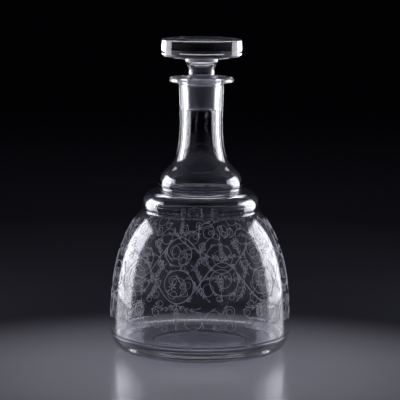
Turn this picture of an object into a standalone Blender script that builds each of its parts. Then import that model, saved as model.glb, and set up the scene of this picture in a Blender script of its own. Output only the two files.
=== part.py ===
"""Stoppered crystal decanter: a two-tiered blown bottle and its solid ground-glass stopper.

Metres, +Z up. The origin is the centre of the base, on the table. Both pieces are turned shapes,
so each one is an outline of (radius, height) points that is spun round the Z axis.
"""

import math

import bmesh
import bpy

# Body of the bottle
BODY_RADIUS = 0.0691
BODY_HEIGHT = 0.1080
BODY_CURVE_SHARE = 2.55
BODY_WALL = 0.0030
HEEL_WIDTH = 0.0115
HEEL_HEIGHT = 0.0151
BASE_THICKNESS = 0.0085
INNER_HEEL_WIDTH = 0.0160
RECESS_RADIUS = 0.0370
RECESS_DEPTH = 0.0020
RECESS_CURVE_SHARE = 4.0

# Lower tier, a wide ring with a rounded shoulder
LOWER_TIER_RADIUS = 0.0457
LOWER_TIER_TUCK = 0.0003
LOWER_TIER_SIDE = 0.0042
LOWER_TIER_ROUND = 0.0115
LOWER_TIER_TURN_SHARE = 0.89

# Upper tier, a bulb that runs up into the neck
UPPER_TIER_RADIUS = 0.0326
UPPER_TIER_TUCK = 0.0006
UPPER_TIER_SIDE = 0.0031
UPPER_TIER_ROUND = 0.0156
UPPER_TIER_TURN_SHARE = 0.478
CREASE_FILLET = 0.0026

# Neck, bore and the flare between the bulb and the neck
FLARE_HEIGHT = 0.0412
FLARE_START_SHARE = 0.235
FLARE_END_SHARE = 0.879
NECK_RADIUS = 0.0164
NECK_TOP_RADIUS = 0.0173
NECK_HEIGHT = 0.02675
BORE_RADIUS = 0.0122

# Rim flange round the mouth
RIM_RADIUS = 0.02455
RIM_THICKNESS = 0.0039
RIM_FILLET = 0.0030
MOUTH_BEVEL = 0.0006

# Ground joint between stopper and mouth
PLUG_LENGTH = 0.0240
PLUG_TAPER_SHARE = 0.041
PLUG_BEVEL = 0.0005
SOCKET_RADIUS = 0.01155
SOCKET_LEDGE = 0.0004
SEAT_GAP = 0.0003

# Stopper above the rim
WAIST_RADIUS = 0.0095
WAIST_HEIGHT = 0.0019
STEM_HEIGHT = 0.0100
STEM_START_SHARE = 0.45
STEM_END_SHARE = 0.78
COLLAR_RADIUS = 0.0125
COLLAR_HEIGHT = 0.0010
DISC_RADIUS = 0.03085
DISC_UNDERSIDE_RISE = 0.0028
DISC_LOWER_ROUND = 0.0032
DISC_THICKNESS = 0.0136
DISC_BEVEL = 0.0019

# Counts
SPIN_STEPS = 52
BODY_POINTS = 10
HEEL_POINTS = 5
RECESS_POINTS = 4
ROLL_POINTS = 5
FILLET_POINTS = 3
FLARE_POINTS = 10
RIM_POINTS = 6
STEM_POINTS = 5
MERGE_DISTANCE = 0.000001
SHARP_ANGLE = math.radians(40)


def arc(centre, width, height, start, end, points):
    """Points of an ellipse round centre, from one angle to another, without the first one."""
    turns = [start + (end - start) * step / points for step in range(1, points + 1)]
    return [(centre[0] + width * math.cos(turn), centre[1] + height * math.sin(turn)) for turn in turns]


def bezier(start, start_handle, end_handle, end, points):
    """Points of a cubic curve, without the first one."""
    curve = []
    for step in range(1, points + 1):
        t = step / points
        weights = ((1 - t) ** 3, 3 * (1 - t) ** 2 * t, 3 * (1 - t) * t**2, t**3)
        knots = (start, start_handle, end_handle, end)
        curve.append(tuple(sum(w * knot[axis] for w, knot in zip(weights, knots)) for axis in (0, 1)))
    return curve


def fillet(before, corner, after, radius, points):
    """Rounds a corner between two straight runs, taking at most half of the shorter one."""
    run_in = math.dist(before, corner)
    run_out = math.dist(corner, after)
    way_in = ((before[0] - corner[0]) / run_in, (before[1] - corner[1]) / run_in)
    way_out = ((after[0] - corner[0]) / run_out, (after[1] - corner[1]) / run_out)
    half_angle = math.acos(way_in[0] * way_out[0] + way_in[1] * way_out[1]) / 2
    reach = min(radius / math.tan(half_angle), run_in / 2, run_out / 2)
    round_turn = math.pi - 2 * half_angle
    left = reach * (1 - 4 / 3 * math.tan(round_turn / 4) * math.tan(half_angle))
    start = (corner[0] + reach * way_in[0], corner[1] + reach * way_in[1])
    start_handle = (corner[0] + left * way_in[0], corner[1] + left * way_in[1])
    end_handle = (corner[0] + left * way_out[0], corner[1] + left * way_out[1])
    end = (corner[0] + reach * way_out[0], corner[1] + reach * way_out[1])
    return [start] + bezier(start, start_handle, end_handle, end, points)


def inner_line(points, walls):
    """The line moved into the glass, square to itself, by the wall at each of its points."""
    moved = []
    for index, (radius, height) in enumerate(points):
        before = points[max(index - 1, 0)]
        after = points[min(index + 1, len(points) - 1)]
        run = math.dist(before, after)
        across = ((after[1] - before[1]) / run, (before[0] - after[0]) / run)
        moved.append((radius - across[0] * walls[index], height - across[1] * walls[index]))
    return moved


def tier(crease, radius, side, round_radius, turn_share, next_radius):
    """Side and rounded shoulder of a tier, from above its crease towards the radius where the next begins."""
    belt = (radius, crease[1] + side)
    roll = min(round_radius, radius - next_radius)
    turn = turn_share * math.pi / 2
    return [belt] + arc((radius - roll, belt[1]), roll, roll, 0, turn, ROLL_POINTS)


def base_outline():
    """Underside from the axis outwards: the recess, the ring that the bottle rests on, and the heel."""
    recess = []
    for step in range(RECESS_POINTS):
        share = math.sin(step / RECESS_POINTS * math.pi / 2)
        rise = (1 - share**RECESS_CURVE_SHARE) ** (1 / RECESS_CURVE_SHARE)
        recess.append((RECESS_RADIUS * share, RECESS_DEPTH * rise))
    foot_radius = BODY_RADIUS - HEEL_WIDTH
    heel = arc((foot_radius, HEEL_HEIGHT), HEEL_WIDTH, HEEL_HEIGHT, -math.pi / 2, 0, HEEL_POINTS)
    return recess + [(RECESS_RADIUS, 0.0), (foot_radius, 0.0)] + heel


def body_curve(crease_radius):
    """Bell-shaped side of the body, from the heel up to the lower crease."""
    power = BODY_CURVE_SHARE
    end = (1 - (crease_radius / BODY_RADIUS) ** power) ** (1 / power)
    full_height = (BODY_HEIGHT - HEEL_HEIGHT) / end
    curve = []
    for step in range(1, BODY_POINTS + 1):
        share = end * math.sin(step / BODY_POINTS * math.pi / 2)
        curve.append((BODY_RADIUS * (1 - share**power) ** (1 / power), HEEL_HEIGHT + full_height * share))
    return curve


def shell_outline():
    """Outside of the blown wall, from the top of the heel to the bottom of the neck."""
    lower_crease = (LOWER_TIER_RADIUS - LOWER_TIER_TUCK, BODY_HEIGHT)
    upper_crease_radius = UPPER_TIER_RADIUS - UPPER_TIER_TUCK
    body = [(BODY_RADIUS, HEEL_HEIGHT)] + body_curve(lower_crease[0])
    lower = tier(
        lower_crease,
        LOWER_TIER_RADIUS,
        LOWER_TIER_SIDE,
        LOWER_TIER_ROUND,
        LOWER_TIER_TURN_SHARE,
        upper_crease_radius,
    )
    shelf_slope = math.tan((1 - LOWER_TIER_TURN_SHARE) * math.pi / 2)
    shelf_end = (upper_crease_radius, lower[-1][1] + (lower[-1][0] - upper_crease_radius) * shelf_slope)
    upper = tier(
        shelf_end,
        UPPER_TIER_RADIUS,
        UPPER_TIER_SIDE,
        UPPER_TIER_ROUND,
        UPPER_TIER_TURN_SHARE,
        NECK_RADIUS,
    )
    turn = UPPER_TIER_TURN_SHARE * math.pi / 2
    start = upper[-1]
    reach = FLARE_START_SHARE * FLARE_HEIGHT
    start_handle = (start[0] - reach * math.sin(turn), start[1] + reach * math.cos(turn))
    end = (NECK_RADIUS, start[1] + FLARE_HEIGHT)
    end_handle = (NECK_RADIUS, end[1] - FLARE_END_SHARE * FLARE_HEIGHT)
    flare = bezier(start, start_handle, end_handle, end, FLARE_POINTS)
    outline = body[:-1]
    outline += fillet(body[-2], lower_crease, lower[0], CREASE_FILLET, FILLET_POINTS)
    outline += lower
    outline += fillet(lower[-1], shelf_end, upper[0], CREASE_FILLET, FILLET_POINTS)
    outline += upper
    return outline + flare


def bottle_outline():
    """Closed outline of the bottle: up its outside, over the rim, and down its inside to the axis."""
    shell = shell_outline()
    neck_bottom = shell[-1][1]
    rim_bottom = neck_bottom + NECK_HEIGHT
    rim_top = rim_bottom + RIM_THICKNESS
    edge = RIM_THICKNESS / 2
    neck_corner = (NECK_TOP_RADIUS, rim_bottom)
    rim_start = (RIM_RADIUS - edge, rim_bottom)
    neck = fillet((NECK_RADIUS, neck_bottom), neck_corner, rim_start, RIM_FILLET, FILLET_POINTS)
    rim = arc((RIM_RADIUS - edge, rim_bottom + edge), edge, edge, -math.pi / 2, math.pi / 2, RIM_POINTS)
    socket_bottom = SOCKET_RADIUS
    socket_top = socket_bottom + PLUG_TAPER_SHARE * PLUG_LENGTH
    mouth = [
        (socket_top + MOUTH_BEVEL, rim_top),
        (socket_top, rim_top - MOUTH_BEVEL),
        (socket_bottom, rim_top - PLUG_LENGTH - SEAT_GAP),
        (socket_bottom + SOCKET_LEDGE, rim_top - PLUG_LENGTH - SEAT_GAP - SOCKET_LEDGE),
    ]
    flare_begin = len(shell) - 1 - FLARE_POINTS
    neck_wall = NECK_RADIUS - BORE_RADIUS
    walls = []
    for index in range(len(shell)):
        share = max(0, index - flare_begin) / FLARE_POINTS
        walls.append(BODY_WALL + (neck_wall - BODY_WALL) * share**2 * (3 - 2 * share))
    inside = inner_line(shell, walls)
    inside.reverse()
    floor_radius = BODY_RADIUS - BODY_WALL - INNER_HEEL_WIDTH
    drop = HEEL_HEIGHT - BASE_THICKNESS
    inner_heel = arc((floor_radius, HEEL_HEIGHT), INNER_HEEL_WIDTH, drop, 0, -math.pi / 2, HEEL_POINTS)
    outside = base_outline() + shell[1:] + neck + [rim_start] + rim
    return outside + mouth + inside + inner_heel + [(0.0, BASE_THICKNESS)]


def rim_height():
    """Height of the rim's top face, where the stopper has its origin."""
    return shell_outline()[-1][1] + NECK_HEIGHT + RIM_THICKNESS


def stopper_outline():
    """Outline of the stopper from the tip of its plug to the middle of its disc, with the rim's top at 0."""
    plug_tip = SOCKET_RADIUS - SEAT_GAP
    plug_top = plug_tip + PLUG_TAPER_SHARE * PLUG_LENGTH
    waist = (WAIST_RADIUS, WAIST_HEIGHT)
    collar = (COLLAR_RADIUS, WAIST_HEIGHT + STEM_HEIGHT)
    stem = bezier(
        waist,
        (WAIST_RADIUS, WAIST_HEIGHT + STEM_START_SHARE * STEM_HEIGHT),
        (WAIST_RADIUS + (COLLAR_RADIUS - WAIST_RADIUS) / 2, WAIST_HEIGHT + STEM_END_SHARE * STEM_HEIGHT),
        collar,
        STEM_POINTS,
    )
    collar_top = (COLLAR_RADIUS, collar[1] + COLLAR_HEIGHT)
    disc_bottom = collar_top[1] + DISC_UNDERSIDE_RISE
    disc_top = disc_bottom + DISC_THICKNESS
    rounding = min(DISC_LOWER_ROUND, DISC_THICKNESS - DISC_BEVEL, DISC_RADIUS - COLLAR_RADIUS)
    lower_round = arc(
        (DISC_RADIUS - rounding, disc_bottom + rounding),
        rounding,
        rounding,
        -math.pi / 2,
        0,
        ROLL_POINTS,
    )
    upper_round = arc(
        (DISC_RADIUS - DISC_BEVEL, disc_top - DISC_BEVEL),
        DISC_BEVEL,
        DISC_BEVEL,
        0,
        math.pi / 2,
        FILLET_POINTS,
    )
    plug = [
        (0.0, -PLUG_LENGTH),
        (plug_tip - PLUG_BEVEL, -PLUG_LENGTH),
        (plug_tip, PLUG_BEVEL - PLUG_LENGTH),
        (plug_top, 0.0),
        waist,
    ]
    disc = [(DISC_RADIUS - rounding, disc_bottom)] + lower_round
    disc += [(DISC_RADIUS, disc_top - DISC_BEVEL)] + upper_round + [(0.0, disc_top)]
    return plug + stem + [collar_top] + disc


def turned_piece(name, outline, height, material):
    """Spins an outline round the Z axis into one closed body whose origin is at the given height."""
    bm = bmesh.new()
    verts = [bm.verts.new((radius, 0.0, rise)) for radius, rise in outline]
    edges = [bm.edges.new(pair) for pair in zip(verts, verts[1:])]
    bmesh.ops.spin(
        bm,
        geom=verts + edges,
        cent=(0.0, 0.0, 0.0),
        axis=(0.0, 0.0, 1.0),
        angle=2 * math.pi,
        steps=SPIN_STEPS,
        use_merge=True,
    )
    bmesh.ops.remove_doubles(bm, verts=bm.verts, dist=MERGE_DISTANCE)
    bmesh.ops.recalc_face_normals(bm, faces=bm.faces)
    mesh = bpy.data.meshes.new(name)
    bm.to_mesh(mesh)
    bm.free()
    mesh.shade_smooth()
    mesh.set_sharp_from_angle(angle=SHARP_ANGLE)
    mesh.materials.append(material)
    piece = bpy.data.objects.new(name, mesh)
    piece.location.z = height
    bpy.context.collection.objects.link(piece)
    return piece


def glass(name, colour, roughness):
    """Clear lead crystal of one finish."""
    material = bpy.data.materials.new(name)
    material.use_nodes = True
    shader = material.node_tree.nodes["Principled BSDF"]
    shader.inputs["Base Color"].default_value = (*colour, 1.0)
    shader.inputs["Roughness"].default_value = roughness
    shader.inputs["Metallic"].default_value = 0.0
    shader.inputs["IOR"].default_value = 1.545
    shader.inputs["Transmission Weight"].default_value = 1.0
    return material


def main():
    for old in list(bpy.data.objects):
        bpy.data.objects.remove(old)
    blown_crystal = glass("blown crystal", (0.96, 0.97, 0.98), 0.01)
    cut_crystal = glass("cut and polished crystal", (0.98, 0.98, 0.99), 0.02)
    bottle = turned_piece("bottle", bottle_outline(), 0.0, blown_crystal)
    stopper = turned_piece("stopper", stopper_outline(), rim_height(), cut_crystal)
    for piece in (bottle, stopper):
        print(piece.name, "outline spun into", len(piece.data.polygons), "faces")
    print("rim at", round(rim_height(), 5))


main()
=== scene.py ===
# %% [markdown]
# # A stoppered crystal decanter
#
# The real decanter is two pieces of clear lead crystal. The bottle is blown, with a bell-shaped body, two
# stepped tiers, a thick neck and a flat rim. The stopper is a solid piece with a disc on top and a ground
# plug below. Fine frosted scrollwork is etched round the body.
#
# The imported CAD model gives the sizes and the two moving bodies. Its walls are faceted, and glass shows
# every facet, so this lesson turns both pieces again from finer outlines, in the same place and at the same
# size.

import bisect
import math
import random

import bmesh
import bpy
from mathutils import Matrix, Vector


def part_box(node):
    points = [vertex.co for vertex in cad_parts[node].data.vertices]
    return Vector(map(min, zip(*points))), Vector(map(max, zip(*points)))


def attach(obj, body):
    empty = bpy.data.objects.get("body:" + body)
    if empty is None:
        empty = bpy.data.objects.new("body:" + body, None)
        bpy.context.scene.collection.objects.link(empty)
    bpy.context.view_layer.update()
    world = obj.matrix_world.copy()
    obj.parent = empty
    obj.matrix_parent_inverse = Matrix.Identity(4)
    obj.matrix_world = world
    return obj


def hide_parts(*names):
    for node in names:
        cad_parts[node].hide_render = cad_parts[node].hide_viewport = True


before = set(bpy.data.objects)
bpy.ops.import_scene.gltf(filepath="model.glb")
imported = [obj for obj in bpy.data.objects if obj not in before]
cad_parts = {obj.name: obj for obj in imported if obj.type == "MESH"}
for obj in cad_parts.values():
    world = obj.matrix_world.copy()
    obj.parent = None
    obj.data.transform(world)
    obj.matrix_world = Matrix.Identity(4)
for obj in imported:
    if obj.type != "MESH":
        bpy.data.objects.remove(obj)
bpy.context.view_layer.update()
bottle_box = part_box("bottle")
stopper_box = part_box("stopper")
body_radius = bottle_box[1].x
rim_top = bottle_box[1].z
disc_radius = stopper_box[1].x
disc_top = stopper_box[1].z
print("body", round(body_radius * 2000, 1), "mm across, rim at", round(rim_top * 1000, 1), "mm")

# %% [markdown]
# ## Outlines
#
# A turned piece is half a section drawn in (radius, height) points. Straight runs need two points, and the
# round stretches come from three small functions: an arc of an ellipse, a cubic curve and a fillet between
# two straight runs. Each arc and curve leaves out its first point, because the run before it has that point.

# %% Round stretches of an outline
def arc(centre, width, height, start, end, points):
    turns = [start + (end - start) * step / points for step in range(1, points + 1)]
    return [(centre[0] + width * math.cos(turn), centre[1] + height * math.sin(turn)) for turn in turns]


def bezier(start, start_handle, end_handle, end, points):
    curve = []
    for step in range(1, points + 1):
        t = step / points
        weights = ((1 - t) ** 3, 3 * (1 - t) ** 2 * t, 3 * (1 - t) * t**2, t**3)
        knots = (start, start_handle, end_handle, end)
        curve.append(tuple(sum(w * knot[axis] for w, knot in zip(weights, knots)) for axis in (0, 1)))
    return curve


def fillet(before, corner, after, radius, points):
    """A round in place of a corner, shorter where a straight run has no room for it."""
    run_in = math.dist(before, corner)
    run_out = math.dist(corner, after)
    way_in = ((before[0] - corner[0]) / run_in, (before[1] - corner[1]) / run_in)
    way_out = ((after[0] - corner[0]) / run_out, (after[1] - corner[1]) / run_out)
    half_angle = math.acos(way_in[0] * way_out[0] + way_in[1] * way_out[1]) / 2
    reach = min(radius / math.tan(half_angle), run_in / 2, run_out / 2)
    round_turn = math.pi - 2 * half_angle
    left = reach * (1 - 4 / 3 * math.tan(round_turn / 4) * math.tan(half_angle))
    start = (corner[0] + reach * way_in[0], corner[1] + reach * way_in[1])
    start_handle = (corner[0] + left * way_in[0], corner[1] + left * way_in[1])
    end_handle = (corner[0] + left * way_out[0], corner[1] + left * way_out[1])
    end = (corner[0] + reach * way_out[0], corner[1] + reach * way_out[1])
    return [start] + bezier(start, start_handle, end_handle, end, points)


# %% [markdown]
# ## The body's bell curve
#
# The side of the body is nearly upright above the heel and turns in quickly below the shoulder, which is a
# superellipse: an ellipse with a power of 2.55 in place of 2. A cubic curve could follow it too, but the
# formula also says later where the etched lines lie. The heel below it is a quarter of an ellipse, with a
# width and a height. All sizes are in metres.

# %% Bell curve
BODY_HEIGHT = 0.1080
BODY_POWER = 2.55
HEEL = (0.0115, 0.0151)
LOWER_TIER = {"radius": 0.0457, "tuck": 0.0010, "side": 0.0042, "round": 0.0115}
LOWER_TIER["turn"] = 0.89 * math.pi / 2


def body_point(share):
    """Point of the bell curve, from 0 at the heel to 1 at the lower crease."""
    crease = (LOWER_TIER["radius"] - LOWER_TIER["tuck"]) / body_radius
    end = (1 - crease**BODY_POWER) ** (1 / BODY_POWER)
    full_height = (BODY_HEIGHT - HEEL[1]) / end
    radius = body_radius * (1 - (end * share) ** BODY_POWER) ** (1 / BODY_POWER)
    return radius, HEEL[1] + full_height * end * share


print("the bell ends", round(body_point(1.0)[0] * 2000, 1), "mm across")

# %% [markdown]
# ## The blown wall
#
# Above the bell stand two tiers, each with a short straight side and a round shoulder, and then a long
# flare into the neck. Small fillets soften the creases, as fire does. The sizes are the ones of the CAD
# model, but for the tuck under each tier: it is about half a millimetre deeper here, for the dark crease
# that parts the highlights.

# %% Outside of the wall
UPPER_TIER = {"radius": 0.0326, "tuck": 0.0010, "side": 0.0031, "round": 0.0156}
UPPER_TIER["turn"] = 0.478 * math.pi / 2
CREASE_FILLET = 0.0026
FLARE_HEIGHT = 0.0412
FLARE_START_SHARE = 0.235
FLARE_END_SHARE = 0.879
NECK_RADIUS = 0.0164
BODY_POINTS = 60
ROUND_POINTS = 16
FLARE_POINTS = 48
LOWER_CREASE_POINTS = 10
UPPER_CREASE_POINTS = 14
CREASE_RUN = 8


def tier(size, foot_height):
    belt = (size["radius"], foot_height + size["side"])
    centre = (size["radius"] - size["round"], belt[1])
    return [belt] + arc(centre, size["round"], size["round"], 0, size["turn"], ROUND_POINTS)


def wall_outline():
    body = [body_point(math.sin(step / BODY_POINTS * math.pi / 2)) for step in range(BODY_POINTS + 1)]
    lower = tier(LOWER_TIER, BODY_HEIGHT)
    upper_foot = UPPER_TIER["radius"] - UPPER_TIER["tuck"]
    slope = math.tan(math.pi / 2 - LOWER_TIER["turn"])
    shelf_end = (upper_foot, lower[-1][1] + (lower[-1][0] - upper_foot) * slope)
    upper = tier(UPPER_TIER, shelf_end[1])
    start = upper[-1]
    reach = FLARE_START_SHARE * FLARE_HEIGHT
    turn = UPPER_TIER["turn"]
    start_handle = (start[0] - reach * math.sin(turn), start[1] + reach * math.cos(turn))
    end = (NECK_RADIUS, start[1] + FLARE_HEIGHT)
    end_handle = (NECK_RADIUS, end[1] - FLARE_END_SHARE * FLARE_HEIGHT)
    flare = bezier(start, start_handle, end_handle, end, FLARE_POINTS)
    lower_crease = fillet(body[-CREASE_RUN], body[-1], lower[0], CREASE_FILLET, LOWER_CREASE_POINTS)
    upper_crease = fillet(lower[-1], shelf_end, upper[0], CREASE_FILLET, UPPER_CREASE_POINTS)
    kept = [point for point in body if point[1] < lower_crease[0][1]]
    return kept + lower_crease + lower + upper_crease + upper + flare


wall = wall_outline()
print("outside of the wall:", len(wall), "points up to", round(wall[-1][1] * 1000, 1), "mm")

# %% [markdown]
# ## The inside
#
# The inside of blown glass follows its outside. Here it lies 3 mm behind it in the body, and the wall
# thickens through the flare, as glass does where the neck is gathered. Solidify could give the wall too,
# but not one that changes on its way.

# %% Inside of the wall
BODY_WALL = 0.0030
BORE_RADIUS = 0.0122


def inside_of(points):
    inside = []
    neck_wall = NECK_RADIUS - BORE_RADIUS
    flare_start = len(points) - 1 - FLARE_POINTS
    for index, (radius, height) in enumerate(points):
        before = points[max(index - 1, 0)]
        after = points[min(index + 1, len(points) - 1)]
        run = math.dist(before, after)
        share = max(0, index - flare_start) / FLARE_POINTS
        thickness = BODY_WALL + (neck_wall - BODY_WALL) * share**2 * (3 - 2 * share)
        across = ((after[1] - before[1]) / run, (before[0] - after[0]) / run)
        inside.append((radius - across[0] * thickness, height - across[1] * thickness))
    return inside


inside_wall = inside_of(wall)
print("the bore is", round(inside_wall[-1][0] * 2000, 1), "mm wide")

# %% [markdown]
# ## The whole section of the bottle
#
# The section is one closed line. It starts on the axis under the base, goes out along the recess and the
# ring that the bottle rests on, up the outside, over the rim, down the ground socket and the inside, and
# back to the axis on the base. The recess keeps the base from rocking. The rim has a small round below and
# a broad, flat one above, which catches the light as the real one does. The CAD model has one full round
# there.

# %% Section of the bottle
BASE_THICKNESS = 0.0085
INNER_HEEL_WIDTH = 0.0160
RECESS_RADIUS = 0.0370
RECESS_DEPTH = 0.0020
RECESS_POWER = 4
NECK_TOP_RADIUS = 0.0173
RIM_RADIUS = 0.02455
RIM_THICKNESS = 0.0039
RIM_FILLET = 0.0030
RIM_LOWER_ROUND = 0.0016
RIM_UPPER_ROUND = (0.0036, 0.0012)
RIM_POINTS = 12
MOUTH_BEVEL = 0.0006
SOCKET_RADIUS = 0.01155
SOCKET_LEDGE = 0.0004
PLUG_LENGTH = 0.0240
PLUG_TAPER = 0.041
SEAT_GAP = 0.0003
rim_bottom = rim_top - RIM_THICKNESS


def base_line():
    recess = []
    for step in range(ROUND_POINTS):
        share = math.sin(step / ROUND_POINTS * math.pi / 2)
        rise = (1 - share**RECESS_POWER) ** (1 / RECESS_POWER)
        recess.append((RECESS_RADIUS * share, RECESS_DEPTH * rise))
    foot_radius = body_radius - HEEL[0]
    heel = arc((foot_radius, HEEL[1]), *HEEL, -math.pi / 2, 0, ROUND_POINTS)
    return recess + [(RECESS_RADIUS, 0.0), (foot_radius, 0.0)] + heel


def rim_line():
    rim_start = (RIM_RADIUS - RIM_LOWER_ROUND, rim_bottom)
    neck = fillet(wall[-1], (NECK_TOP_RADIUS, rim_bottom), rim_start, RIM_FILLET, RIM_POINTS)
    lower, upper = RIM_LOWER_ROUND, RIM_UPPER_ROUND
    rim = arc((RIM_RADIUS - lower, rim_bottom + lower), lower, lower, -math.pi / 2, 0, ROUND_POINTS)
    rim += [(RIM_RADIUS, rim_top - upper[1])]
    rim += arc((RIM_RADIUS - upper[0], rim_top - upper[1]), *upper, 0, math.pi / 2, RIM_POINTS)
    return neck + [rim_start] + rim


def bottle_section():
    socket_top = SOCKET_RADIUS + PLUG_TAPER * PLUG_LENGTH
    socket_end = rim_top - PLUG_LENGTH - SEAT_GAP
    mouth = [
        (socket_top + MOUTH_BEVEL, rim_top),
        (socket_top, rim_top - MOUTH_BEVEL),
        (SOCKET_RADIUS + PLUG_TAPER * (PLUG_LENGTH - RIM_THICKNESS), rim_bottom),
        (SOCKET_RADIUS, socket_end),
        (SOCKET_RADIUS + SOCKET_LEDGE, socket_end - SOCKET_LEDGE),
    ]
    floor_radius = body_radius - BODY_WALL - INNER_HEEL_WIDTH
    drop = HEEL[1] - BASE_THICKNESS
    inner_heel = arc((floor_radius, HEEL[1]), INNER_HEEL_WIDTH, drop, 0, -math.pi / 2, ROUND_POINTS)
    up = base_line() + wall[1:] + rim_line()
    return up + mouth + inside_wall[::-1] + inner_heel + [(0.0, BASE_THICKNESS)]


bottle_line = bottle_section()
print("section of the bottle:", len(bottle_line), "points")

# %% [markdown]
# ## The stopper
#
# The stopper is solid glass: a ground plug with a slight taper, a waist, a short stem that opens into a
# collar, and a thick disc with softened edges, which is what a hand lifts it by. The disc's upper edge
# slopes off over 5 mm, more than in the CAD model, because the light from behind draws its bright line on
# that slope.

# %% Section of the stopper
WAIST = (0.0095, 0.0019)
STEM_HEIGHT = 0.0100
STEM_HANDLES = (0.45, 0.78)
COLLAR = (0.0125, 0.0010)
UNDERSIDE_RISE = 0.0028
DISC_LOWER_ROUND = 0.0032
DISC_UPPER_ROUND = (0.0050, 0.0011)
PLUG_BEVEL = 0.0005


def stopper_section():
    tip = SOCKET_RADIUS - SEAT_GAP
    top = tip + PLUG_TAPER * PLUG_LENGTH
    plug_end = rim_top - PLUG_LENGTH
    plug = [(0.0, plug_end), (tip - PLUG_BEVEL, plug_end), (tip, plug_end + PLUG_BEVEL)]
    plug += [(tip + PLUG_TAPER * (PLUG_LENGTH - RIM_THICKNESS), rim_bottom), (top, rim_top)]
    waist = (WAIST[0], rim_top + WAIST[1])
    collar = (COLLAR[0], waist[1] + STEM_HEIGHT)
    low_handle = (WAIST[0], waist[1] + STEM_HANDLES[0] * STEM_HEIGHT)
    high_handle = ((WAIST[0] + COLLAR[0]) / 2, waist[1] + STEM_HANDLES[1] * STEM_HEIGHT)
    stem = bezier(waist, low_handle, high_handle, collar, ROUND_POINTS)
    collar_top = (COLLAR[0], collar[1] + COLLAR[1])
    disc_bottom = collar_top[1] + UNDERSIDE_RISE
    lower, upper = DISC_LOWER_ROUND, DISC_UPPER_ROUND
    disc = [(disc_radius - lower, disc_bottom)]
    disc += arc((disc_radius - lower, disc_bottom + lower), lower, lower, -math.pi / 2, 0, ROUND_POINTS)
    disc += [(disc_radius, disc_top - upper[1])]
    disc += arc((disc_radius - upper[0], disc_top - upper[1]), *upper, 0, math.pi / 2, ROUND_POINTS)
    return plug + [waist] + stem + [collar_top] + disc + [(0.0, disc_top)]


stopper_line = stopper_section()
print("section of the stopper:", len(stopper_line), "points")

# %% [markdown]
# ## Turning
#
# The lathe of bmesh is spin: it sweeps the section once round the Z axis. With use_merge the last step
# joins the first, and merging doubles closes the pole on the axis. The normals are recalculated after that,
# and edges sharper than 38 degrees stay crisp, such as those of the plug. A Screw modifier would turn the
# section too, but the faces of the ground joint are picked from the mesh, so it has to be there.

# %% Turn a section
TURN_STEPS = 224
SHARP_ANGLE = math.radians(38)
DOUBLES = 1e-6


def turned(name, section):
    bm = bmesh.new()
    verts = [bm.verts.new((radius, 0.0, height)) for radius, height in section]
    edges = [bm.edges.new(pair) for pair in zip(verts, verts[1:])]
    sweep = {"cent": (0, 0, 0), "axis": (0, 0, 1), "angle": 2 * math.pi, "steps": TURN_STEPS}
    bmesh.ops.spin(bm, geom=verts + edges, use_merge=True, **sweep)
    bmesh.ops.remove_doubles(bm, verts=bm.verts, dist=DOUBLES)
    bmesh.ops.recalc_face_normals(bm, faces=bm.faces)
    mesh = bpy.data.meshes.new(name)
    bm.to_mesh(mesh)
    bm.free()
    mesh.shade_smooth()
    mesh.set_sharp_from_angle(angle=SHARP_ANGLE)
    piece = bpy.data.objects.new(name, mesh)
    bpy.context.scene.collection.objects.link(piece)
    print(name, sum(len(face.vertices) - 2 for face in mesh.polygons), "triangles")
    return piece


bottle = turned("crystal_bottle", bottle_line)
stopper = turned("crystal_stopper", stopper_line)
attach(bottle, "bottle")
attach(stopper, "stopper")
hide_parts("bottle")
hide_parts("stopper")


# %% [markdown]
# ## Materials
#
# Colours are written as sRGB hex values and turned to linear by one function. Another function adds a node
# with its settings and its links, so that a material reads as a list of what it is made of.

# %% Helpers for materials
COLOURS = {"data_type": "RGBA"}
EASED = {"interpolation_type": "SMOOTHSTEP"}


def linear(hex_colour):
    values = [int(hex_colour[place : place + 2], 16) / 255 for place in (1, 3, 5)]
    return tuple(v / 12.92 if v <= 0.04045 else ((v + 0.055) / 1.055) ** 2.4 for v in values) + (1.0,)


def add_node(tree, kind, settings=None, links=None):
    """A node of one kind, with its settings by name and its inputs by socket: a value or another socket."""
    node = tree.nodes.new(kind)
    for name, value in (settings or {}).items():
        setattr(node, name, value)
    for socket, value in (links or {}).items():
        if isinstance(value, bpy.types.NodeSocket):
            tree.links.new(value, node.inputs[socket])
        else:
            node.inputs[socket].default_value = value
    return node


def new_material(name):
    material = bpy.data.materials.new(name)
    material.use_nodes = True
    material.node_tree.nodes.clear()
    return material, material.node_tree


# %% [markdown]
# ## Lead crystal
#
# Lead crystal is clear and heavy, with an IOR of about 1.545. Blown glass is never quite flat: its surface
# swells and sinks by a few hundredths of a millimetre over 30 to 40 mm, which makes long reflections waver a
# little. A soft noise gives that as bump, and the same noise shifts the colour by a trace of grey-blue. The
# transmission, the IOR and the roughness are plain numbers on the shader, so the exported glass keeps them.
#
# A renderer looks for each lamp along a straight line, and glass would block that line. So those rays alone
# meet a clear shader in its place, and the light that falls through one wall reaches the base and the other.

# %% Blown lead crystal
CRYSTAL_IOR = 1.545


def lets_lamps_through(tree, shader, tint):
    """The shader, with a clear one in its place for the rays that look for lamps."""
    rays = add_node(tree, "ShaderNodeLightPath")
    clear = add_node(tree, "ShaderNodeBsdfTransparent", links={"Color": linear(tint)})
    both = {0: rays.outputs["Is Shadow Ray"], 1: shader.outputs[0], 2: clear.outputs[0]}
    return add_node(tree, "ShaderNodeMixShader", links=both)


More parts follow.
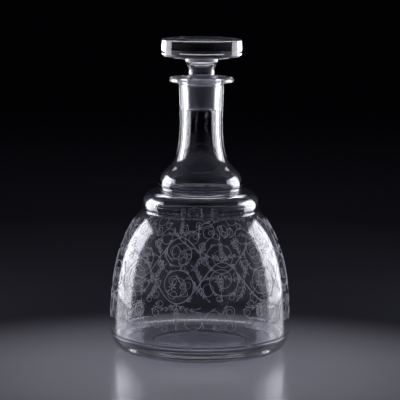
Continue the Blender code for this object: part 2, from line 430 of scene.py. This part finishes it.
def crystal(name, roughness, swell_size, swell_depth, tints):
    """Clear glass with a swell of a given size and depth in metres, and a tint that shifts between two."""
    material, tree = new_material(name)
    place = add_node(tree, "ShaderNodeTexCoord")
    waves = {"Vector": place.outputs["Object"], "Scale": 1 / swell_size, "Detail": 1.0}
    swell = add_node(tree, "ShaderNodeTexNoise", links=waves).outputs["Fac"]
    trace = {"Factor": swell, 6: linear(tints[0]), 7: linear(tints[1])}
    tint = add_node(tree, "ShaderNodeMix", COLOURS, trace)
    relief = {"Height": swell, "Strength": 1.0, "Distance": swell_depth}
    bump = add_node(tree, "ShaderNodeBump", links=relief)
    glass = {"Base Color": tint.outputs[2], "Roughness": roughness, "IOR": CRYSTAL_IOR}
    glass |= {"Transmission Weight": 1.0, "Normal": bump.outputs["Normal"]}
    shader = add_node(tree, "ShaderNodeBsdfPrincipled", links=glass)
    passing = lets_lamps_through(tree, shader, "#f3f3f7")
    add_node(tree, "ShaderNodeOutputMaterial", links={"Surface": passing.outputs[0]})
    print(name, "has", len(tree.nodes), "nodes")
    return material


SWELL_SIZE = 0.035
SWELL_DEPTH = 0.00006
CLEAR_TINTS = ("#fcfcfe", "#f6f6fb")
lead_crystal = crystal("blown lead crystal", 0.0, SWELL_SIZE, SWELL_DEPTH, CLEAR_TINTS)

# %% [markdown]
# ## The ground joint
#
# Plug and socket are ground together with grit, so that they seal. The ground faces are matt from the plug's
# tip up to the rim, and clear above. The grit leaves pits of about 0.1 mm, which are drawn 0.6 mm wide here
# because finer ones don't show. Matt faces also send some of the light back, so their tint is darker. The
# faces are picked by where they are, and get the second material.

# %% Ground glass
GROUND_LIMIT = 0.0135
UPRIGHT = 0.5
GROUND_ROUGHNESS = 0.17
GRIT_SIZE = 0.0006
GRIT_DEPTH = 0.00002
GROUND_TINTS = ("#dcdce2", "#d0d0d8")
ground_glass = crystal("ground glass joint", GROUND_ROUGHNESS, GRIT_SIZE, GRIT_DEPTH, GROUND_TINTS)


def ground_band(piece, low, high):
    """Grind the faces of the piece that stand upright near the axis, between two heights."""
    piece.data.materials.append(lead_crystal)
    piece.data.materials.append(ground_glass)
    for face in piece.data.polygons:
        centre = face.center
        upright = abs(face.normal.z) < UPRIGHT
        if upright and low < centre.z < high and math.hypot(centre.x, centre.y) < GROUND_LIMIT:
            face.material_index = 1
    print(piece.name, sum(face.material_index for face in piece.data.polygons), "ground faces")


ground_band(bottle, rim_top - PLUG_LENGTH - SEAT_GAP, rim_bottom)
ground_band(stopper, rim_top - PLUG_LENGTH, rim_bottom)

# %% [markdown]
# ## Etched scrollwork
#
# The body carries a frieze of running scrolls, a very old border pattern: a wavy stem with a scroll in each
# hollow, sprigs at its crests and tendrils in every gap. On glass it is etched through a wax film, which
# leaves frosted lines 0.3 to 0.8 mm wide. Bump alone would leave no lines in the mesh, so they are thin bars
# here. They are drawn flat first, in millimetres, as pen strokes with a width at each point. One panel is
# drawn and repeated round the body, as an etcher repeats a transfer.

# %% Pen strokes
BELT_RADIUS = 66.0
PANELS = 6
PANEL = 2 * math.pi * BELT_RADIUS / PANELS
SCROLL_STEP = 1.5
SCROLL_TURN = 0.42
SCROLL_POWER = 0.85
strokes = []
print("a panel is", round(PANEL, 1), "mm wide")


def line(points, start_width, end_width):
    """A stroke through flat points, with a width that runs from one value to the other."""
    last = len(points) - 1
    widths = [start_width + (end_width - start_width) * index / last for index in range(last + 1)]
    strokes.append((points, widths))


def way_at(points, index):
    here, ahead = points[index], points[index + 1]
    return math.atan2(ahead[1] - here[1], ahead[0] - here[0])


def bent(start, heading, length, bend, step=1.0):
    """Points along a curve that turns by bend on its way."""
    count = max(3, round(length / step))
    points = [start]
    x, y = start
    for index in range(count):
        way = heading + bend * (index + 0.5) / count
        x += length / count * math.cos(way)
        y += length / count * math.sin(way)
        points.append((x, y))
    return points


def scroll(start, heading, size, turns, side, end_size):
    """Points of a scroll that leaves start in the direction heading (radians) and tightens as it turns."""
    total = turns * 2 * math.pi
    points = [start]
    x, y = start
    turned_by = 0.0
    while turned_by < total:
        radius = end_size + (size - end_size) * (1 - turned_by / total) ** SCROLL_POWER
        step = min(SCROLL_STEP / radius, SCROLL_TURN, total - turned_by + 1e-6)
        way = heading + side * (turned_by + step / 2)
        x += radius * step * math.cos(way)
        y += radius * step * math.sin(way)
        turned_by += step
        points.append((x, y))
    return points


# %% [markdown]
# A leaf is one stroke that swells, as a pen's line does when it is pressed: it is widest before its middle
# and ends in a point. A sprig is a stalk with pairs of such leaves, each pair smaller than the one before,
# and one leaf at its tip. Leans and bends are in radians.

# %% Leaves and sprigs
LEAF_STEP = 1.1
LEAF_POINT = 0.2
LEAF_SWELL = 0.7
SPRIG_WIDTHS = (0.45, 0.28)
SPRIG_LEAF_WIDTH = 0.7
SPRIG_LEAF_LEAN = 0.75
SPRIG_LEAF_BEND = 0.6
FIRST_PAIR = 0.2
PAIRS_REACH = 0.75
PAIRS_TAPER = 0.4
TIP_LEAF = 0.6


def leaf(start, heading, length, width, bend):
    points = bent(start, heading, length, bend, LEAF_STEP)
    last = len(points) - 1
    swell = [math.sin(math.pi * (index / last) ** LEAF_SWELL) for index in range(last + 1)]
    strokes.append((points, [LEAF_POINT + (width - LEAF_POINT) * part for part in swell]))
    return points


def sprig(start, heading, length, bend, pairs, leaf_length):
    stalk = bent(start, heading, length, bend)
    line(stalk, *SPRIG_WIDTHS)
    for pair in range(pairs):
        share = FIRST_PAIR + PAIRS_REACH * pair / pairs
        index = round(share * (len(stalk) - 2))
        size = leaf_length * (1 - PAIRS_TAPER * share)
        for side in (-1, 1):
            way = way_at(stalk, index) + side * SPRIG_LEAF_LEAN
            leaf(stalk[index], way, size, SPRIG_LEAF_WIDTH, -side * SPRIG_LEAF_BEND)
    leaf(stalk[-1], way_at(stalk, len(stalk) - 2), TIP_LEAF * leaf_length, SPRIG_LEAF_WIDTH, 0.0)
    return stalk


# %% [markdown]
# The stem is a sine wave. Just past each of its bends a big scroll leaves it, curls into the hollow and
# ends in a small flower. Three sprigs stand on the outside of the bend, and two more leave the stem where
# it crosses the middle. The lines that tendrils may later grow from are kept as guides.

# %% Stem, scrolls and sprigs of one panel
MIDDLE = 47.0
SWING = 15.5
STEM_POINTS = 64
STEM_WIDTH = 0.55
SCROLL = {"size": 13.6, "turns": 1.8, "end_size": 2.8}
SCROLL_WIDTHS = (0.52, 0.35)
SCROLL_START = 0.02
SCROLL_LEAF_PLACES = (0.06, 0.17, 0.29, 0.42)
SCROLL_LEAVES = ((0.5, 6.4), (1.1, 4.6))
SCROLL_LEAF_TAPER = 4
SCROLL_LEAF_WIDTH = 0.68
SCROLL_LEAF_BEND = 0.9
PETALS = 6
PETAL_START = 0.7
PETAL_TURN = 0.4
PETAL_SIZE = (2.4, 0.8)
TOP_SPRIG = {"length": 17.0, "bend": 0.0, "pairs": 4, "leaf_length": 5.0}
SIDE_SPRIG = {"length": 17.0, "pairs": 3, "leaf_length": 4.4}
SIDE_SPRIG_LEAN = 0.75
SIDE_SPRIG_BEND = 1.2
MIDDLE_SPRIG = {"length": 14.0, "pairs": 3, "leaf_length": 4.4}
MIDDLE_SPRIG_LEAN = 0.6
MIDDLE_SPRIG_BEND = 0.9


def stem_point(x):
    return x, MIDDLE + SWING * math.sin(2 * math.pi * x / PANEL)


def stem_heading(x):
    return math.atan(SWING * 2 * math.pi / PANEL * math.cos(2 * math.pi * x / PANEL))


def flower(middle):
    for petal in range(PETALS):
        way = 2 * math.pi * petal / PETALS + PETAL_TURN
        start = (middle[0] + PETAL_START * math.cos(way), middle[1] + PETAL_START * math.sin(way))
        leaf(start, way, *PETAL_SIZE, 0.0)


stem = [stem_point(PANEL * step / STEM_POINTS) for step in range(STEM_POINTS + 1)]
line(stem, STEM_WIDTH, STEM_WIDTH)
guides = [stem]
for half, side in ((0, -1), (1, 1)):
    crest = PANEL * (0.25 + 0.5 * half)
    x = crest + SCROLL_START * PANEL
    big = scroll(stem_point(x), stem_heading(x), side=side, **SCROLL)
    line(big, *SCROLL_WIDTHS)
    guides.append(big)
    flower(big[-1])
    for share in SCROLL_LEAF_PLACES:
        index = round(share * len(big))
        for lean, size in SCROLL_LEAVES:
            way = way_at(big, index) - side * lean
            size -= SCROLL_LEAF_TAPER * share
            leaf(big[index], way, size, SCROLL_LEAF_WIDTH, side * SCROLL_LEAF_BEND)
    top = stem_point(crest)
    out = -side * math.pi / 2
    guides.append(sprig(top, out, **TOP_SPRIG))
    for lean in (-1, 1):
        way = out + lean * SIDE_SPRIG_LEAN
        guides.append(sprig(top, way, bend=lean * SIDE_SPRIG_BEND, **SIDE_SPRIG))
    x = crest + 0.25 * PANEL
    for half_turn in (0.0, math.pi):
        way = stem_heading(x) + half_turn + side * MIDDLE_SPRIG_LEAN
        guides.append(sprig(stem_point(x), way, bend=side * MIDDLE_SPRIG_BEND, **MIDDLE_SPRIG))
main_strokes = len(strokes)
print(main_strokes, "strokes in a panel's stem, scrolls and sprigs")

# %% [markdown]
# The gaps are filled as a pen would do it: a tendril leaves a line that is already there, bends away and
# ends in a small scroll. A grid of cells remembers where there is a line, a try that comes too close to one
# is dropped, and the sizes go from large to small. The random numbers are seeded, so each run draws the
# same.

# %% A grid that remembers the lines
CELL = 0.5
CELL_MARGIN = 0.3
COLUMNS = round(PANEL / CELL)
LOWEST = 10.0
HIGHEST = 94.0
taken = set()


def mark(points):
    for here, ahead in zip(points, points[1:]):
        parts = max(1, round(math.dist(here, ahead) / (0.5 * CELL)))
        for part in range(parts + 1):
            x = here[0] + (ahead[0] - here[0]) * part / parts
            y = here[1] + (ahead[1] - here[1]) * part / parts
            taken.add((int(x % PANEL / PANEL * COLUMNS), int(y / CELL)))


def is_free(points, gap):
    reach = math.ceil(gap / CELL)
    cells = [(a, b) for a in range(-reach, reach + 1) for b in range(-reach, reach + 1)]
    near = [cell for cell in cells if math.hypot(*cell) * CELL <= gap + CELL_MARGIN]
    for x, y in points:
        column, row = int(x % PANEL / PANEL * COLUMNS), int(y / CELL)
        if not LOWEST < y < HIGHEST or any(((column + a) % COLUMNS, row + b) in taken for a, b in near):
            return False
    return True


for points, _ in strokes:
    mark(points)
print(len(taken), "cells hold a line before the gaps are filled")

# %% [markdown]
# Each try picks a guide, a place on it and a side by chance. The lead is the short way out to the scroll,
# from 0.3 to 2 times the scroll's size. A tendril that finds room becomes a guide itself, so that the
# smaller ones grow from it in their turn, and gets one or two leaves.

# %% Tendrils in the gaps
SEED = 7
LEADS = (0.3, 0.6, 1.2, 2.0)
LEAD_LEANS = (0.25, 0.75)
LEAD_BEND = 0.5
CURL_SPREAD = (0.9, 1.1)
CURL_TURNS = (1.25, 1.6)
CURL_END = (0.22, 0.25)
START_ROOM = 1.6
BACKWARD_SHARE = 0.35
TENDRIL_END = 0.28
TWIG_LEAN = 0.7
TWIG_POWER = 0.8
TWIG_WIDTH = 0.65
TWIG_BEND = 0.8
hand = random.Random(SEED)


def fill_gaps(sizes, tries, width, gap, leaves):
    for size in sizes:
        for _ in range(tries):
            guide = hand.choice(guides)
            index = hand.randrange(1, len(guide) - 1)
            side = hand.choice((-1, 1))
            way = way_at(guide, index) + side * hand.uniform(*LEAD_LEANS)
            if hand.random() < BACKWARD_SHARE:
                way += math.pi
            lead = bent(guide[index], way, size * hand.choice(LEADS), -side * LEAD_BEND)
            reach = size * hand.uniform(*CURL_SPREAD)
            turns = hand.uniform(*CURL_TURNS)
            end_size = CURL_END[0] * size + CURL_END[1]
            curl = scroll(lead[-1], way_at(lead, len(lead) - 2), reach, turns, side, end_size)
            points = lead + curl[1:]
            room = gap + START_ROOM
            clear_of_start = [point for point in points if math.dist(point, guide[index]) > room]
            if not is_free(clear_of_start, gap):
                continue
            line(points, width, TENDRIL_END)
            mark(points[1:])
            guides.append(points)
            for share in leaves:
                place = round(share * len(points))
                way = way_at(points, place) - side * TWIG_LEAN
                mark(leaf(points[place], way, size**TWIG_POWER, TWIG_WIDTH, side * TWIG_BEND))


fill_gaps((8.0, 7.0, 6.0, 5.2), tries=700, width=0.48, gap=2.4, leaves=(0.12, 0.3))
fill_gaps((4.4, 3.7, 3.1, 2.6), tries=1200, width=0.42, gap=2.2, leaves=(0.2,))
print(len(strokes) - main_strokes, "strokes in a panel's tendrils")

# %% [markdown]
# The flat lines are wrapped round the body: the distance along the frieze becomes an angle round the axis,
# and the height is measured along the bell curve. A Shrinkwrap modifier would pull them onto the body too,
# but it would squeeze the pattern where the bell leans in.

# %% Wrap a flat point round the body
STROKE_RISE = 0.00018
PROFILE_STEPS = 400
profile = [body_point(step / PROFILE_STEPS) for step in range(PROFILE_STEPS + 1)]
lengths = [0.0]
for before, after in zip(profile, profile[1:]):
    lengths.append(lengths[-1] + math.dist(before, after))
print("the body's profile is", round(lengths[-1] * 1000, 1), "mm long")


def on_body(x, y, rise):
    """Place on the body of a flat point in millimetres. The rise is -1 in the glass and 1 proud of it."""
    index = min(max(bisect.bisect(lengths, y / 1000) - 1, 0), PROFILE_STEPS - 1)
    run = lengths[index + 1] - lengths[index]
    share = (y / 1000 - lengths[index]) / run
    here, ahead = profile[index], profile[index + 1]
    step = (ahead[0] - here[0], ahead[1] - here[1])
    radius = here[0] + step[0] * share + step[1] / run * rise * STROKE_RISE
    height = here[1] + step[1] * share - step[0] / run * rise * STROKE_RISE
    angle = x / BELT_RADIUS
    return radius * math.sin(angle), -radius * math.cos(angle), height


# %% [markdown]
# A curve object with a bevel turns each stroke into a thin closed bar, wider where the pen pressed harder. A
# bar ends up 0.36 mm thick, half of it in the glass. Real pits are shallower, but they catch light from the
# side, which here the bar's edges do.

# %% Make bars of the strokes
HALF_WIDTH = 0.5
FLAT_LIMIT = 0.02


def flat_bars(name, chosen):
    """The mesh of the chosen strokes, repeated for each panel and still flat, in millimetres."""
    curve = bpy.data.curves.new(name, "CURVE")
    curve.dimensions = "3D"
    curve.twist_mode = "Z_UP"
    curve.bevel_depth = HALF_WIDTH
    curve.bevel_resolution = 0
    curve.use_fill_caps = True
    for panel in range(PANELS):
        for points, widths in chosen:
            spline = curve.splines.new("POLY")
            spline.points.add(len(points) - 1)
            for knot, (x, y), width in zip(spline.points, points, widths):
                knot.co = (x + panel * PANEL, y, 0.0, 1.0)
                knot.radius = width
    guide = bpy.data.objects.new(name + "_guide", curve)
    bpy.context.scene.collection.objects.link(guide)
    graph = bpy.context.evaluated_depsgraph_get()
    mesh = bpy.data.meshes.new_from_object(guide.evaluated_get(graph))
    bpy.data.objects.remove(guide)
    mesh.name = name
    return mesh


def etched(name, chosen):
    mesh = flat_bars(name, chosen)
    for vert in mesh.vertices:
        x, y, z = vert.co
        vert.co = on_body(x, y, 0.0 if abs(z) < FLAT_LIMIT else math.copysign(1.0, z))
    bm = bmesh.new()
    bm.from_mesh(mesh)
    bmesh.ops.recalc_face_normals(bm, faces=bm.faces)
    bm.to_mesh(mesh)
    bm.free()
    piece = bpy.data.objects.new(name, mesh)
    bpy.context.scene.collection.objects.link(piece)
    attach(piece, "bottle")
    print(name, sum(len(face.vertices) - 2 for face in mesh.polygons), "triangles")
    return piece


etched_stems = etched("etched_stems_and_sprigs", strokes[:main_strokes])
etched_tendrils = etched("etched_tendrils", strokes[main_strokes:])

# %% [markdown]
# Etched glass is frosted: its pits of a few hundredths of a millimetre scatter light both back and through,
# so a line is pale from either side of the wall. Two thirds of the shader are a rough dielectric and one
# third lets light through. The pits are drawn 0.4 mm wide as a change of tone, the finest that shows at
# all. Rays that look for a lamp pass here too, dimmed, because the glass under a line is as clear as any
# other.

# %% Frosted line
PIT_SIZE = 0.0004
FROST_ROUGHNESS = 0.55
THROUGH_SHARE = 0.33
material, tree = new_material("acid-etched frosted line")
place = add_node(tree, "ShaderNodeTexCoord")
pattern = {"Vector": place.outputs["Object"], "Scale": 1 / PIT_SIZE}
pits = add_node(tree, "ShaderNodeTexNoise", links=pattern).outputs["Fac"]
tones = {"Factor": pits, 6: linear("#d8d8df"), 7: linear("#eaeaf0")}
tone = add_node(tree, "ShaderNodeMix", COLOURS, tones)
frost = {"Base Color": tone.outputs[2], "Roughness": FROST_ROUGHNESS, "IOR": CRYSTAL_IOR}
frosted = add_node(tree, "ShaderNodeBsdfPrincipled", links=frost)
through = add_node(tree, "ShaderNodeBsdfTranslucent", links={"Color": tone.outputs[2]})
both = {0: THROUGH_SHARE, 1: frosted.outputs[0], 2: through.outputs[0]}
passing = lets_lamps_through(tree, add_node(tree, "ShaderNodeMixShader", links=both), "#b4b4b9")
add_node(tree, "ShaderNodeOutputMaterial", links={"Surface": passing.outputs[0]})
etched_stems.data.materials.append(material)
etched_tendrils.data.materials.append(material)
print(material.name, "has", len(tree.nodes), "nodes")

# %% [markdown]
# ## Floor
#
# The floor is a board with a satin face, which mirrors the bottle's bright flanks and the feet of
# the lamps. Its colour is a painted pool of light: pale round the bottle and painted dark further off, where
# the board is also matt. Clear glass shows whatever stands behind it, so the pale etching reads against the
# dark.

# %% Floor with a painted pool of light that darkens away from the bottle
FLOOR_RADIUS = 8.0
POOL_CENTRE = (0.0, -0.14, 0.0)
PAINTED_POOL_EDGES = (0.06, 0.30)
SATIN_TO_MATT = (0.40, 0.80)
SATIN = 0.5
FLOOR_ROUGHNESS = 0.2
bpy.ops.mesh.primitive_circle_add(vertices=128, radius=FLOOR_RADIUS, fill_type="NGON")
floor = bpy.context.object
floor.name = "floor"
material, tree = new_material("satin board with painted light pool")
place = add_node(tree, "ShaderNodeTexCoord")
between = {0: place.outputs["Object"], 1: POOL_CENTRE}
distance = add_node(tree, "ShaderNodeVectorMath", {"operation": "DISTANCE"}, between).outputs["Value"]
# Painted pool of light: the colour goes from pale to dark with the distance from the pool's centre, in place
# of light that falls off.
reach = {"Value": distance, "From Min": PAINTED_POOL_EDGES[0], "From Max": PAINTED_POOL_EDGES[1]}
fade = add_node(tree, "ShaderNodeMapRange", EASED, reach).outputs["Result"]
tones = {"Factor": fade, 6: linear("#bcbcc3"), 7: linear("#202026")}
colour = add_node(tree, "ShaderNodeMix", COLOURS, tones)
reach = {"Value": distance, "From Min": SATIN_TO_MATT[0], "From Max": SATIN_TO_MATT[1]}
reach |= {"To Min": SATIN, "To Max": 0.0}
sheen = add_node(tree, "ShaderNodeMapRange", EASED, reach).outputs["Result"]
board = {"Base Color": colour.outputs[2], "Roughness": FLOOR_ROUGHNESS, "Specular IOR Level": sheen}
shader = add_node(tree, "ShaderNodeBsdfPrincipled", links=board)
add_node(tree, "ShaderNodeOutputMaterial", links={"Surface": shader.outputs[0]})
floor.data.materials.append(material)
print(floor.name, "is", 2 * FLOOR_RADIUS, "m across")

# %% [markdown]
# ## Light
#
# Glass is lit from behind and from the sides. Two tall softboxes stand beside the bottle, a little behind
# it, and draw a long bright line down each flank of the glass. A high one at the back draws the thin arcs
# on the shelf, under the disc and round the inside of the base. Nothing stands in front or overhead,
# because it would lie as a grey patch on the shoulder. Each box fades towards its ends, as a real one does.

# %% Softboxes
LAMP_COLOUR = "#f7f7ff"
LOWER_END = 0.65
SIDE_LAMP = {"size": (0.274, 0.345), "radiance": 5.5, "fades": (0.45, 0.1)}
BACK_LAMP = {"size": (1.2, 0.30), "radiance": 3.0, "fades": (0.4, 0.4)}
SIDE_PLACE = (0.367, 0.150, 0.173)
BACK_PLACE = (0, 1.0, 0.95)
BACK_TARGET = (0, 0, 0.1)


def softbox(name, place, target, size, radiance, fades):
    """A rectangular lamp that fades over a share of its height at both ends, the lower to two thirds."""
    lamp = bpy.data.lights.new(name, "AREA")
    lamp.shape = "RECTANGLE"
    lamp.size, lamp.size_y = size
    lamp.energy = radiance * math.pi * size[0] * size[1]
    lamp.color = linear(LAMP_COLOUR)[:3]
    lamp.use_nodes = True
    tree = lamp.node_tree
    shape = add_node(tree, "ShaderNodeNewGeometry")
    across = add_node(tree, "ShaderNodeSeparateXYZ", links={"Vector": shape.outputs["Parametric"]})
    ends = []
    for dark, full, least in ((0.0, fades[0], LOWER_END), (1.0, 1.0 - fades[1], 0.0)):
        reach = {"Value": across.outputs["Y"], "From Min": dark, "From Max": full, "To Min": least}
        ends.append(add_node(tree, "ShaderNodeMapRange", EASED, reach))
    product = {0: ends[0].outputs[0], 1: ends[1].outputs[0]}
    both = add_node(tree, "ShaderNodeMath", {"operation": "MULTIPLY"}, product)
    tree.links.new(both.outputs[0], tree.nodes["Emission"].inputs["Strength"])
    box = bpy.data.objects.new(name, lamp)
    box.location = place
    box.rotation_euler = (Vector(target) - box.location).to_track_quat("-Z", "Y").to_euler()
    bpy.context.scene.collection.objects.link(box)
    print(name, round(lamp.energy, 2), "W")


for side, name in ((-1, "softbox_left"), (1, "softbox_right")):
    softbox(name, (side * SIDE_PLACE[0], *SIDE_PLACE[1:]), (0, *SIDE_PLACE[1:]), **SIDE_LAMP)
softbox("softbox_behind", BACK_PLACE, BACK_TARGET, **BACK_LAMP)

# %% [markdown]
# The room is dark straight behind the bottle and a soft grey at its sides and high up at the back. The edges
# of clear glass bend light from there towards the eye, so this grey is what makes them stand out from a dark
# background. It starts high enough that the floor, which mirrors a little at this low angle, stays plain.

# %% Room
world = bpy.data.worlds.new("studio")
bpy.context.scene.world = world
world.use_nodes = True
tree = world.node_tree
way = add_node(tree, "ShaderNodeTexCoord")
parts = add_node(tree, "ShaderNodeSeparateXYZ", links={"Vector": way.outputs["Generated"]})
aside = add_node(tree, "ShaderNodeMath", {"operation": "ABSOLUTE"}, {0: parts.outputs["X"]})
greys = []
for value, start, end, most in (
    (parts.outputs["Y"], 0.1, 0.5, 1.0),
    (parts.outputs["Z"], 0.3, 0.65, 0.5),
    (aside.outputs[0], 0.2, 0.85, 1.0),
):
    reach = {"Value": value, "From Min": start, "From Max": end, "To Max": most}
    greys.append(add_node(tree, "ShaderNodeMapRange", EASED, reach).outputs[0])
behind, above, sides = greys
high_behind = add_node(tree, "ShaderNodeMath", {"operation": "MULTIPLY"}, {0: behind, 1: above})
grey = add_node(tree, "ShaderNodeMath", {"operation": "MAXIMUM"}, {0: high_behind.outputs[0], 1: sides})
tones = {"Factor": grey.outputs[0], 6: linear("#15151a"), 7: linear("#54545d")}
colour = add_node(tree, "ShaderNodeMix", COLOURS, tones)
tree.links.new(colour.outputs[2], tree.nodes["Background"].inputs["Color"])
print("the room has", len(tree.nodes), "nodes")

# %% [markdown]
# ## Camera
#
# The photograph is taken from 1.7 m away and a little above the bottle, which shows in the ellipses: the one
# of the base is rounder than the one of the disc. The roll and the shift are what the framing needs.

# %% Camera
VIEW_DISTANCE = 1.677
VIEW_RISE = math.radians(8.17)
VIEW_HEIGHT = 0.1146
VIEW_ROLL = math.radians(0.41)
VIEW_LENS = 196.56
VIEW_SHIFT = (-0.00175, 0.002)
camera_data = bpy.data.cameras.new("camera")
camera_data.sensor_width = 36
camera_data.lens = VIEW_LENS
camera_data.shift_x, camera_data.shift_y = VIEW_SHIFT
camera = bpy.data.objects.new("camera", camera_data)
back = VIEW_DISTANCE * math.cos(VIEW_RISE)
camera.location = (0, -back, VIEW_HEIGHT + VIEW_DISTANCE * math.sin(VIEW_RISE))
tilt = Matrix.Rotation(math.pi / 2 - VIEW_RISE, 3, "X")
camera.rotation_euler = (tilt @ Matrix.Rotation(VIEW_ROLL, 3, "Z")).to_euler()
bpy.context.scene.collection.objects.link(camera)
bpy.context.scene.camera = camera
print("camera at", [round(value, 3) for value in camera.location])

# %% [markdown]
# ## Finish
#
# Light crosses up to a dozen glass faces on its way through the bottle, so the path needs many bounces.
# Caustics are left out, because at few samples they come out as stray sparkles.

# %% View settings
GLASS_BOUNCES = 24
GLOSS_BOUNCES = 12
scene = bpy.context.scene
scene.view_settings.view_transform = "Standard"
scene.cycles.max_bounces = GLASS_BOUNCES
scene.cycles.transmission_bounces = GLASS_BOUNCES
scene.cycles.glossy_bounces = GLOSS_BOUNCES
scene.cycles.caustics_refractive = False
scene.cycles.caustics_reflective = False
